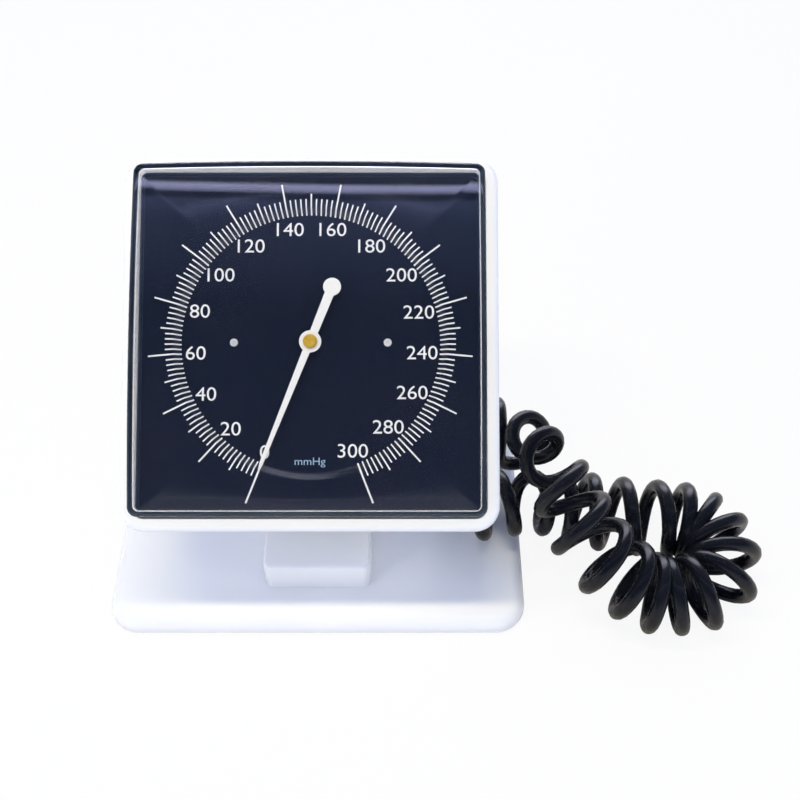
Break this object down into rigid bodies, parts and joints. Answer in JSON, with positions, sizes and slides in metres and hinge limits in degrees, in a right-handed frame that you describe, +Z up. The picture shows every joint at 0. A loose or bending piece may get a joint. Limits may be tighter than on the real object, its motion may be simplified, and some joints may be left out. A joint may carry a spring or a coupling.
{
  "type": "desk aneroid sphygmomanometer",
  "caption": "Desk blood pressure gauge: a square dial head tilting on a flat weighted stand, with a pointer movement, a clear domed cover and a coiled air hose.",
  "frame": {"origin": "centre of the base's rubber pad, where the stand rests on the desk", "axes": "+Z up, -Y towards the reader of the dial, +X to the reader's right, where the coiled hose lies"},
  "size_m": [0.308, 0.1705, 0.1777],
  "materials": {
    "white_plastic": "gloss",
    "clear_plastic": "polished",
    "dial_print": "gloss",
    "pointer_paint": "gloss",
    "black_rubber": "matte",
    "hose_rubber": "gloss",
    "inner_rubber": "matte",
    "grey_plastic": "matte",
    "zinc_steel": "satin",
    "white_screws": "gloss",
    "ballast_steel": "matte",
    "movement_brass": "satin",
    "cap_brass": "polished",
    "bronze": "satin",
    "nickel": "satin",
    "friction_disc": "matte"
  },
  "bodies": {
    "base": {"base_shell": "white_plastic", "base_floor": "grey_plastic", "ballast_plate": "ballast_steel", "base_pad": "black_rubber", "base_screws": "zinc_steel", "pedestal": "white_plastic", "pedestal_screws": "zinc_steel", "hinge_pin": "zinc_steel", "hinge_nut": "zinc_steel", "friction_washers": "friction_disc", "hose_lead": "hose_rubber", "hose_coil_front": "hose_rubber", "hose_coil_rear": "hose_rubber", "hose_tail": "hose_rubber", "hose_connector": "nickel"},
    "head": {"front_housing": "white_plastic", "lens_cover": "clear_plastic", "lens_gasket": "black_rubber", "dial_plate": "dial_print", "dial_screws": "white_screws", "dial_posts": "movement_brass", "rear_cover": "white_plastic", "rear_cover_screws": "zinc_steel", "hinge_bracket": "white_plastic", "bracket_screws": "zinc_steel", "chassis_plate": "zinc_steel", "chassis_screws": "zinc_steel", "movement_front_plate": "movement_brass", "movement_back_plate": "movement_brass", "movement_pillars": "movement_brass", "capsule_studs": "movement_brass", "capsule_plate": "zinc_steel", "rocker_bearings": "movement_brass", "capsule": "bronze", "hairspring": "bronze", "hose_barb": "nickel", "barb_nut": "nickel", "inner_tube": "inner_rubber", "hose_sleeve": "black_rubber"},
    "pointer_arbor": {"pinion": "movement_brass", "pinion_arbor": "zinc_steel", "pointer": "pointer_paint", "pointer_cap": "cap_brass"},
    "sector": {"sector_gear": "movement_brass", "sector_arbor": "zinc_steel"},
    "rocker": {"rocker_shaft": "zinc_steel"},
    "push_pin": {"push_pin": "zinc_steel"}
  },
  "joints": [
    {"name": "head_tilt", "type": "hinge", "parent": "base", "child": "head", "pos_m": [0, -0.007, 0.042], "axis": [-1, 0, 0], "range_deg": [-30, 20], "deforming": ["hose_lead"]},
    {"name": "pointer_turn", "type": "hinge", "parent": "head", "child": "pointer_arbor", "pos_m": [0, 0.01396, 0.12016], "axis": [0, 0.5736, -0.8192], "range_deg": [0, 317.2], "stiffness_Nm_per_rad": 0.002},
    {"name": "sector_swing", "type": "hinge", "parent": "head", "child": "sector", "pos_m": [0.02867, 0.0004, 0.11066], "axis": [0, 0.5736, -0.8192], "range_deg": [-31.72, 0]},
    {"name": "rocker_swing", "type": "hinge", "parent": "head", "child": "rocker", "pos_m": [0, 0.01417, 0.09101], "axis": [1, 0, 0], "range_deg": [0, 11.41]},
    {"name": "push_slide", "type": "slide", "parent": "head", "child": "push_pin", "axis": [0, -0.5736, 0.8192], "range_m": [0, 0.00329]}
  ],
  "couplings": [
    {"joint": "pointer_turn", "follows": "push_slide", "rad_per_m": 1683},
    {"joint": "sector_swing", "follows": "push_slide", "rad_per_m": -168.3},
    {"joint": "rocker_swing", "follows": "push_slide", "rad_per_m": 60.523}
  ]
}
